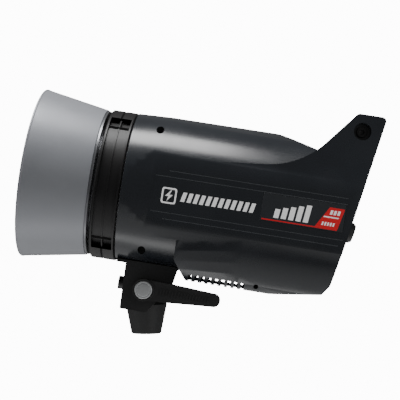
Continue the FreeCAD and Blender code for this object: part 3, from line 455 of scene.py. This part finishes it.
def close_tree(tree, given, shape):
    """End a tree in real geometry with its finish on it."""
    real = add(tree, "GeometryNodeRealizeInstances", {0: shape})
    painted = add(tree, "GeometryNodeSetMaterial", {"Geometry": real.outputs[0], "Material": given["Finish"]})
    tree.links.new(painted.outputs[0], tree.nodes.new("NodeGroupOutput").inputs[0])
    return tree


def grown(tree, finish, **values):
    """Run a tree and keep what it makes as a plain mesh, in millimetres."""
    holder = bpy.data.objects.new("grown", bpy.data.meshes.new("grown"))
    scene.collection.objects.link(holder)
    maker = holder.modifiers.new("maker", "NODES")
    maker.node_group = tree
    values["Finish"] = finish
    for socket in tree.interface.items_tree:
        if socket.in_out == "INPUT":
            maker[socket.identifier] = values[socket.name]
    mesh = evaluated_mesh(holder)
    bpy.data.objects.remove(holder)
    return mesh


def knurl_tree():
    """Half-round ribs round a Z axis."""
    tree, given = geometry_tree("knurl", Count="Int", Radius="Float", Rib_Length="Float", Rib_Radius="Float")
    circle = add(tree, "GeometryNodeMeshCircle", {"Vertices": given["Count"], "Radius": given["Radius"]})
    rib = add(tree, "GeometryNodeMeshCylinder",
              {"Radius": given["Rib_Radius"], "Depth": given["Rib_Length"]}, Vertices=8)
    ribs = add(tree, "GeometryNodeInstanceOnPoints",
               {"Points": circle.outputs[0], "Instance": rib.outputs["Mesh"]})
    return close_tree(tree, given, ribs.outputs[0])


def rib_row_tree():
    """A row of bars along X that may lean and may grow along the row, standing on Z = 0."""
    tree, given = geometry_tree("rib_row", Count="Int", Pitch="Float", Bar="Vector", Lean="Float",
                                Growth="Float")
    step = add(tree, "ShaderNodeCombineXYZ", {"X": given["Pitch"]})
    line = add(tree, "GeometryNodeMeshLine", {"Count": given["Count"], "Offset": step.outputs[0]})
    bar = add(tree, "GeometryNodeMeshCube", {"Size": given["Bar"]})
    parts = add(tree, "ShaderNodeSeparateXYZ", {0: given["Bar"]})
    half = add(tree, "ShaderNodeMath", {0: parts.outputs["Z"], 1: 0.5}, operation="MULTIPLY")
    lift = add(tree, "ShaderNodeCombineXYZ", {"Z": half.outputs[0]})
    stood = add(tree, "GeometryNodeTransform", {"Geometry": bar.outputs[0], "Translation": lift.outputs[0]})
    number = add(tree, "GeometryNodeInputIndex")
    more = add(tree, "ShaderNodeMath", {0: number.outputs[0], 1: given["Growth"], 2: 1.0},
               operation="MULTIPLY_ADD")
    size = add(tree, "ShaderNodeCombineXYZ", {"X": 1.0, "Y": 1.0, "Z": more.outputs[0]})
    bars = add(tree, "GeometryNodeInstanceOnPoints",
               {"Points": line.outputs[0], "Instance": stood.outputs[0], "Scale": size.outputs[0]})
    real = add(tree, "GeometryNodeRealizeInstances", {0: bars.outputs[0]})
    place = add(tree, "GeometryNodeInputPosition")
    axes = add(tree, "ShaderNodeSeparateXYZ", {0: place.outputs[0]})
    shear = add(tree, "ShaderNodeMath", {0: axes.outputs["Z"], 1: given["Lean"]}, operation="MULTIPLY")
    shift = add(tree, "ShaderNodeCombineXYZ", {"X": shear.outputs[0]})
    leaning = add(tree, "GeometryNodeSetPosition", {"Geometry": real.outputs[0], "Offset": shift.outputs[0]})
    return close_tree(tree, given, leaning.outputs[0])


def hoop_row_tree():
    """Rings of one radius side by side along Z, as on a ribbed sleeve."""
    tree, given = geometry_tree("hoop_row", Count="Int", Pitch="Float", Radius="Float", Rib_Radius="Float")
    step = add(tree, "ShaderNodeCombineXYZ", {"Z": given["Pitch"]})
    line = add(tree, "GeometryNodeMeshLine", {"Count": given["Count"], "Offset": step.outputs[0]})
    path = add(tree, "GeometryNodeCurvePrimitiveCircle", {"Radius": given["Radius"]}, Resolution=48)
    bead = add(tree, "GeometryNodeCurvePrimitiveCircle", {"Radius": given["Rib_Radius"]}, Resolution=8)
    hoop = add(tree, "GeometryNodeCurveToMesh", {"Curve": path.outputs[0], "Profile Curve": bead.outputs[0]})
    hoops = add(tree, "GeometryNodeInstanceOnPoints",
                {"Points": line.outputs[0], "Instance": hoop.outputs[0]})
    return close_tree(tree, given, hoops.outputs[0])


def dimpled_cone_tree():
    """The reflecting face: a cone about Z hammered with even rows of dimples."""
    tree, given = geometry_tree("dimpled_cone", Back_Radius="Float", Front_Radius="Float", Length="Float",
                                Around="Float", Along="Float", Depth="Float")
    grid = add(tree, "GeometryNodeMeshGrid", Size_X=1.0, Size_Y=1.0, Vertices_X=601, Vertices_Y=97)
    place = add(tree, "GeometryNodeInputPosition")
    axes = add(tree, "ShaderNodeSeparateXYZ", {0: place.outputs[0]})
    angle = add(tree, "ShaderNodeMath", {0: axes.outputs["X"], 1: 2 * math.pi}, operation="MULTIPLY")
    along = add(tree, "ShaderNodeMath", {0: axes.outputs["Y"], 1: 0.5}, operation="ADD")
    radius = add(tree, "ShaderNodeMapRange", {"Value": along.outputs[0], "To Min": given["Back_Radius"],
                                              "To Max": given["Front_Radius"]})
    half_turns = add(tree, "ShaderNodeMath", {0: angle.outputs[0], 1: given["Around"]}, operation="MULTIPLY")
    round_wave = add(tree, "ShaderNodeMath", {0: half_turns.outputs[0], 1: 0.5}, operation="MULTIPLY")
    round_sine = add(tree, "ShaderNodeMath", {0: round_wave.outputs[0]}, operation="SINE")
    rows = add(tree, "ShaderNodeMath", {0: along.outputs[0], 1: given["Along"]}, operation="MULTIPLY")
    row_wave = add(tree, "ShaderNodeMath", {0: rows.outputs[0], 1: math.pi}, operation="MULTIPLY")
    row_sine = add(tree, "ShaderNodeMath", {0: row_wave.outputs[0]}, operation="SINE")
    both = add(tree, "ShaderNodeMath", {0: round_sine.outputs[0], 1: row_sine.outputs[0]},
               operation="MULTIPLY")
    dimple = add(tree, "ShaderNodeMath", {0: both.outputs[0]}, operation="ABSOLUTE")
    reach = add(tree, "ShaderNodeMath", {0: dimple.outputs[0], 1: given["Depth"], 2: radius.outputs[0]},
                operation="MULTIPLY_ADD")
    sine = add(tree, "ShaderNodeMath", {0: angle.outputs[0]}, operation="SINE")
    cosine = add(tree, "ShaderNodeMath", {0: angle.outputs[0]}, operation="COSINE")
    x = add(tree, "ShaderNodeMath", {0: cosine.outputs[0], 1: reach.outputs[0]}, operation="MULTIPLY")
    y = add(tree, "ShaderNodeMath", {0: sine.outputs[0], 1: reach.outputs[0]}, operation="MULTIPLY")
    z = add(tree, "ShaderNodeMath", {0: along.outputs[0], 1: given["Length"]}, operation="MULTIPLY")
    spot = add(tree, "ShaderNodeCombineXYZ", {"X": x.outputs[0], "Y": y.outputs[0], "Z": z.outputs[0]})
    bent = add(tree, "GeometryNodeSetPosition",
               {"Geometry": grid.outputs["Mesh"], "Position": spot.outputs[0]})
    sealed = add(tree, "GeometryNodeMergeByDistance", {"Geometry": bent.outputs[0]}, Distance=0.01)
    return close_tree(tree, given, sealed.outputs[0])


KNURL = knurl_tree()
RIB_ROW = rib_row_tree()
HOOP_ROW = hoop_row_tree()
DIMPLED_CONE = dimpled_cone_tree()

# The trees' own Z turned onto the X of a frame, and onto its Y.
Z_TO_X = Matrix.Rotation(math.pi / 2, 4, "Y")
Z_TO_Y = Matrix.Rotation(-math.pi / 2, 4, "X")


def at(base, x, y, z):
    """A place in one of the object's frames, in millimetres."""
    return base @ Matrix.Translation(Vector((x, y, z)) * MM)


# ---------------------------------------------------------------- reflector and ring

RIM_X, RIM_R = -123.6, 81.2
FLANGE_X, FLANGE_R = -62.0, 70.5
SHEET = 1.4
MOUTH = 54.0


def reflector():
    wall = [(FLANGE_X, FLANGE_R - 0.1), (RIM_X + 2.4, RIM_R - 0.5), (RIM_X + 1.6, RIM_R - 0.05),
            (RIM_X + 0.2, RIM_R - 0.05), (RIM_X + 0.05, RIM_R - 1.6), (RIM_X + 1.2, RIM_R - 2.1),
            (FLANGE_X - SHEET, FLANGE_R - SHEET - 0.3), (FLANGE_X - SHEET, MOUTH), (FLANGE_X, MOUTH)]
    keep("reflector_spinning", revolved(softened(wall, 0.8), 256), HEAD, FINISH["reflector_paint"],
         "head", "reflector_paint", "reflector_shell")
    back, front = FLANGE_X - SHEET - 1.2, RIM_X + 1.8
    slope = (RIM_R - FLANGE_R) / (FLANGE_X - RIM_X)
    inner = FLANGE_R - SHEET - 1.25
    cone = grown(DIMPLED_CONE, FINISH["reflector_silver"], Back_Radius=inner,
                 Front_Radius=inner + slope * (back - front), Length=back - front,
                 Around=100.0, Along=16.0, Depth=0.4)
    liner = bpy.data.objects.new("liner", cone)
    scene.collection.objects.link(liner)
    wall = liner.modifiers.new("wall", "SOLIDIFY")
    wall.thickness = 0.25
    wall.offset = 1
    mesh = evaluated_mesh(liner)
    bpy.data.objects.remove(liner)
    bm = bmesh.new()
    bm.from_mesh(mesh)
    keep("reflector_liner", mesh_of(bm), at(HEAD, back, 0, 0) @ Z_TO_X.inverted(),
         FINISH["reflector_silver"], "head", "reflector_silver", "reflector_shell", angle=60)
    floor_ring = [(FLANGE_X - SHEET - 0.5, MOUTH + 0.4), (FLANGE_X - SHEET - 0.5, inner + 0.6),
                  (FLANGE_X - SHEET - 0.05, inner + 0.6), (FLANGE_X - SHEET - 0.05, MOUTH + 0.4)]
    keep("reflector_floor", revolved(floor_ring, 128), HEAD, FINISH["reflector_silver"],
         "head", "reflector_silver", "reflector_shell")


def ring_details():
    """Raised line round the recessed grips, where the ring's two bands meet."""
    front, radius, sink = -57.0, 71.5, 2.6
    slot_floor = radius - 5.0
    line = softened([(front + 11.0, slot_floor - 0.2), (front + 11.3, radius - sink + 0.5),
                     (front + 12.7, radius - sink + 0.5), (front + 13.0, slot_floor - 0.2)], 0.25)
    for name, start in (("ring_line_right", 31.5), ("ring_line_left", 211.5)):
        keep(name, revolved(line, 72, start, 117), HEAD, FINISH["ring_black"],
             "bayonet_lock_ring", "ring_black")


# ---------------------------------------------------------------- handle, knobs and lever

def handle_sleeve():
    radius, pitch, count = 10.8, 3.5, 24
    ribs = grown(HOOP_ROW, FINISH["grip_rubber"], Count=count, Pitch=pitch, Radius=radius, Rib_Radius=0.8)
    keep("handle_sleeve_ribs", ribs, at(HEAD, 175.5, -pitch * (count - 1) / 2, 81) @ Z_TO_Y,
         FINISH["grip_rubber"], "head", "grip_rubber")


def turned_knob(name, outline, place, body, slot, *nodes):
    keep(name, revolved(softened(outline, 0.7, 3), 96), place, FINISH[slot], body, slot, *nodes)


KNOB_REACH = 10.5    # mm the control knob stands out of the rear rim


def knurled_knobs():
    face = KNOB_REACH
    cap = [(-1.1, 3.05), (-1.1, 10.2), (0.6, 10.4), (face - 2.6, 9.9), (face - 0.2, 8.0),
           (face - 0.2, 5.6), (face - 0.9, 5.2), (face - 0.9, 0), (face - 3.2, 0), (face - 3.2, 3.05)]
    turned_knob("control_knob_cap", cap, at(REAR, 0, 0, -KNOB_DROP), "control_knob", "knob_black",
                "control_knob")
    ribs = grown(KNURL, FINISH["knob_black"], Count=36, Radius=10.35, Rib_Length=4.6, Rib_Radius=0.5)
    keep("control_knob_knurl", ribs, at(REAR, 1.4, 0, -KNOB_DROP) @ Z_TO_X, FINISH["knob_black"],
         "control_knob", "knob_black")
    mark = sheet_piece([(face - 0.95, -0.5), (face - 0.75, -0.5), (face - 0.75, 0.5), (face - 0.95, 0.5)],
                       0.8, 4.6)
    keep("control_knob_mark", mark, at(REAR, 0, 0, -KNOB_DROP), WHITE_INK, "control_knob", "knob_black")
    for node, radius, depth in (("umbrella_lock_knob", 6.5, 9.0), ("stand_lock_knob", 7.5, 11.0)):
        low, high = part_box(node)
        finished_copy(node, 0.8)
        centre = [(low[i] + high[i]) / 2 for i in range(3)]
        base = HEAD if node == "umbrella_lock_knob" else ROW
        middle = base.inverted() @ Vector((centre[0], high[1] - depth / 2 * MM, centre[2]))
        ribs = grown(KNURL, FINISH["knob_black"], Count=20, Radius=radius - 0.45,
                     Rib_Length=depth - 2.4, Rib_Radius=0.6)
        keep(node + "_knurl", ribs, base @ Matrix.Translation(middle) @ Z_TO_Y, FINISH["knob_black"],
             node, "knob_black")


def lever_details():
    outer = -39.3
    cap = [(0, 0), (0, 8.3), (0.5, 8.3), (2.2, 8.2), (2.7, 7.2), (2.35, 6.7), (2.35, 6.2), (2.85, 5.8),
           (3.05, 3.0), (3.1, 0)]
    turn = at(HEAD, 0, outer + 2.2, -93) @ Matrix.Rotation(-math.pi / 2, 4, "Z")
    keep("lever_cap_disc", revolved(softened(cap, 0.35, 3), 96), turn, FINISH["lever_grey"],
         "tilt_lever", "lever_grey", "lever_cap")
    ribs = grown(RIB_ROW, FINISH["lever_black"], Count=17, Pitch=2.8, Bar=(1.2, 1.0, 6.4),
                 Lean=0.15, Growth=-0.012)
    keep("lever_grip_ribs", ribs, at(HEAD, 15.4, outer + 1.1, -95.6), FINISH["lever_black"],
         "tilt_lever", "lever_black")


# ---------------------------------------------------------------- flank prints

FLANK = 65.5
BADGE_FACE = FLANK + 0.15
# Height, start and end of each scored line along the flank, in the head's frame.
FLANK_LINES = ((18.7, 8, 172), (13.2, -3.5, 172), (-19.3, -3.5, 173), (-25, 8, 169))


def both_flanks(name, outline, finish, out=BADGE_FACE, thick=0.06, holes=()):
    """One print on each side of the head, drawn as seen from that side."""
    for side, label in ((-1, "left"), (1, "right")):
        face = side * out
        mesh = sheet_piece(outline, face - side * thick, face + side * 0.02, holes)
        keep("%s_%s" % (name, label), mesh, HEAD, finish, "head", "badge_dark")


def bars_on_flanks(name, x, z, out, **row):
    for side, label in ((-1, "left"), (1, "right")):
        mesh = grown(RIB_ROW, WHITE_INK, **row)
        keep("%s_%s" % (name, label), mesh, at(HEAD, x, side * out, z), WHITE_INK, "head", "badge_dark")


def flank_prints():
    red = [(156.4, 8.4), (170.2, 8.4), (165.6, -11.7), (144.6, -11.7)]
    both_flanks("red_flash", softened(red, 0.7), RED_INK)
    both_flanks("red_underline", [(97.0, -11.6), (144.9, -11.6), (145.4, -10.5), (97.0, -10.5)], RED_INK)
    both_flanks("flash_divider", [(151.8, -1.0), (165.4, -1.0), (165.7, 0.1), (152.4, 0.1)],
                WHITE_INK, BADGE_FACE + 0.04)
    bars_on_flanks("flash_bars_upper", 158.2, 2.0, BADGE_FACE + 0.04, Count=3, Pitch=3.3,
                   Bar=(2.2, 0.1, 4.0), Lean=0.2, Growth=0.0)
    bars_on_flanks("flash_bars_lower", 151.6, -8.4, BADGE_FACE + 0.04, Count=5, Pitch=2.5,
                   Bar=(1.4, 0.1, 3.2), Lean=0.2, Growth=0.0)
    bars_on_flanks("level_bars", 109.6, -8.6, BADGE_FACE, Count=5, Pitch=6.7, Bar=(4.6, 0.1, 8.2),
                   Lean=0.12, Growth=0.23)
    bars_on_flanks("scale_bars", 24.0, -7.4, FLANK, Count=12, Pitch=5.7, Bar=(3.6, 0.1, 8.6),
                   Lean=0.22, Growth=0.0)
    square = [(4.6, -11.0), (18.2, -11.0), (18.2, 3.6), (4.6, 3.6)]
    inner = [(6.1, -9.5), (16.7, -9.5), (16.7, 2.1), (6.1, 2.1)]
    both_flanks("bolt_frame", softened(square, 2.4), WHITE_INK, FLANK + 0.02, 0.05, (softened(inner, 1.4),))
    bolt = [(12.6, 1.4), (8.0, -4.3), (11.0, -4.3), (9.8, -8.9), (14.8, -2.7), (11.6, -2.7), (13.6, 1.4)]
    both_flanks("bolt", bolt, WHITE_INK, FLANK + 0.02, 0.05)
    # Each scored line gets a lighter grey strip in its groove, a painted highlight of its lit edges.
    for index, (z, start, end) in enumerate(FLANK_LINES, 1):
        strip = [(start + 0.3, z - 0.3), (end - 0.3, z - 0.3), (end - 0.3, z + 0.3), (start + 0.3, z + 0.3)]
        both_flanks("flank_line_%d" % index, strip, PAINTED_HIGHLIGHT_LINE, FLANK - 0.12, 0.4)


# ---------------------------------------------------------------- rear face prints

def rear_prints():
    """Plain marks on the keys and a lit reading behind the window."""
    turn = Matrix.Rotation(-math.pi / 2, 4, "Z")
    segments = {"a": ((0.5, 7.4), (3.5, 7.4)), "b": ((3.8, 4.4), (3.8, 7.1)), "c": ((3.8, 0.9), (3.8, 3.6)),
                "d": ((0.5, 0.6), (3.5, 0.6)), "e": ((0.2, 0.9), (0.2, 3.6)), "f": ((0.2, 4.4), (0.2, 7.1)),
                "g": ((0.5, 4.0), (3.5, 4.0))}
    lit = {-7.0: "afgcd", 0.0: "abcdef"}
    index = 0
    for x, shown in lit.items():
        for key in shown:
            (x0, z0), (x1, z1) = segments[key]
            strip = [(x + x0 - 0.3, z0 - 0.3), (x + x1 + 0.3, z0 - 0.3), (x + x1 + 0.3, z1 + 0.3),
                     (x + x0 - 0.3, z1 + 0.3)]
            index += 1
            keep("reading_segment_%d" % index, sheet_piece(strip, -0.04, 0.04),
                 at(REAR, -2.28, 0, 22) @ turn.inverted(), LIT_SEGMENT, "head", "display_panel")
    level = grown(RIB_ROW, LIT_SEGMENT, Count=9, Pitch=3.0, Bar=(1.8, 0.08, 1.8), Lean=0.0, Growth=0.0)
    keep("reading_level", level, at(REAR, -2.28, -12, 18) @ turn.inverted(), LIT_SEGMENT,
         "head", "display_panel")
    marks = {"mode_button": [(-1.6, -1.6), (1.6, -1.6), (1.6, 1.6), (-1.6, 1.6)],
             "model_button": [(-1.8, -1.5), (1.8, -1.5), (0, 1.8)],
             "audio_button": [(-2.4, -0.5), (2.4, -0.5), (2.4, 0.5), (-2.4, 0.5)],
             "cell_button": [(0, -2.0), (2.0, 0), (0, 2.0), (-2.0, 0)]}
    places = {"mode_button": (28, -1), "model_button": (28, -17), "audio_button": (-28, -1),
              "cell_button": (-28, -17)}
    for key, outline in marks.items():
        y, z = places[key]
        keep(key + "_mark", sheet_piece(softened(outline, 0.3), -0.03, 0.03),
             at(REAR, 0.02, y, z) @ turn.inverted(), WHITE_INK, key, "key_rubber")


# ---------------------------------------------------------------- the pieces

MADE_HERE = {"reflector_shell", "control_knob", "lever_cap", "umbrella_lock_knob", "stand_lock_knob"}
BEVELS = {"tilt_yoke": 0.7, "tilt_lever": 0.8, "bayonet_lock_ring": 0.5, "stand_socket": 0.6,
          "badge_left": 0.15, "badge_right": 0.15, "housing_left": 0, "housing_right": 0}
for name in frame["nodes"]:
    if name not in MADE_HERE:
        finished_copy(name, BEVELS.get(name, 0.4))
reflector()
ring_details()
handle_sleeve()
knurled_knobs()
lever_details()
flank_prints()
rear_prints()


# ---------------------------------------------------------------- studio

def area_light(name, place, target, size, power):
    data = bpy.data.lights.new(name, "AREA")
    data.shape = "RECTANGLE"
    data.size, data.size_y = size
    data.energy = power
    lamp = bpy.data.objects.new(name, data)
    lamp.location = place
    lamp.rotation_euler = (Vector(target) - Vector(place)).to_track_quat("-Z", "Y").to_euler()
    scene.collection.objects.link(lamp)
    return lamp


WALLS, BACKDROP = 0.17, 16.0          # what the object sees, and what the camera sees behind it
FLOOR_Z, FLOOR_HALF = -0.8, 2.0       # metres


def studio():
    world = bpy.data.worlds.new("studio_walls")
    scene.world = world
    world.use_nodes = True
    tree = world.node_tree
    walls = tree.nodes["Background"]
    walls.inputs["Color"].default_value = (1, 1, 1, 1)
    walls.inputs["Strength"].default_value = WALLS
    backdrop = add(tree, "ShaderNodeBackground", Strength=BACKDROP)
    seen = add(tree, "ShaderNodeLightPath")
    mix = add(tree, "ShaderNodeMixShader",
              {0: seen.outputs["Is Camera Ray"], 1: walls.outputs[0], 2: backdrop.outputs[0]})
    tree.links.new(mix.outputs[0], tree.nodes["World Output"].inputs["Surface"])
    bm = bmesh.new()
    bmesh.ops.create_grid(bm, x_segments=2, y_segments=2, size=FLOOR_HALF)
    mesh = bpy.data.meshes.new("studio_floor")
    bm.to_mesh(mesh)
    bm.free()
    floor = bpy.data.objects.new("studio_floor", mesh)
    floor.location = (0, 0, FLOOR_Z)
    scene.collection.objects.link(floor)
    paint, _, _ = material("pale_floor_paint", "#F4F4F4", 0.7,
                           Emission_Color=(1, 1, 1, 1), Emission_Strength=0.12)
    mesh.materials.append(paint)
    area_light("overhead_softbox", (-0.27, -0.17, 1.12), (-0.27, 0, 0.13), (0.95, 0.42), 24)
    area_light("left_softbox", (-1.7, -0.35, 0.5), (-0.1, 0, 0.12), (0.5, 0.9), 5)
    area_light("right_fill", (1.15, -1.1, 0.2), (0.15, 0, 0.12), (0.6, 0.7), 4)
    area_light("low_strip", (0.05, -0.1, -0.5), (0.05, 0, 0.1), (1.4, 0.14), 1.4).visible_camera = False


def camera():
    data = bpy.data.cameras.new("studio_camera")
    data.lens = 101.25
    data.sensor_width = 36
    cam = bpy.data.objects.new("studio_camera", data)
    cam.location = (0.083, -1.080, 0.091)
    cam.rotation_euler = Vector((-0.0292, 0.9990, 0.0339)).to_track_quat("-Z", "Y").to_euler()
    scene.collection.objects.link(cam)
    scene.camera = cam


studio()
camera()
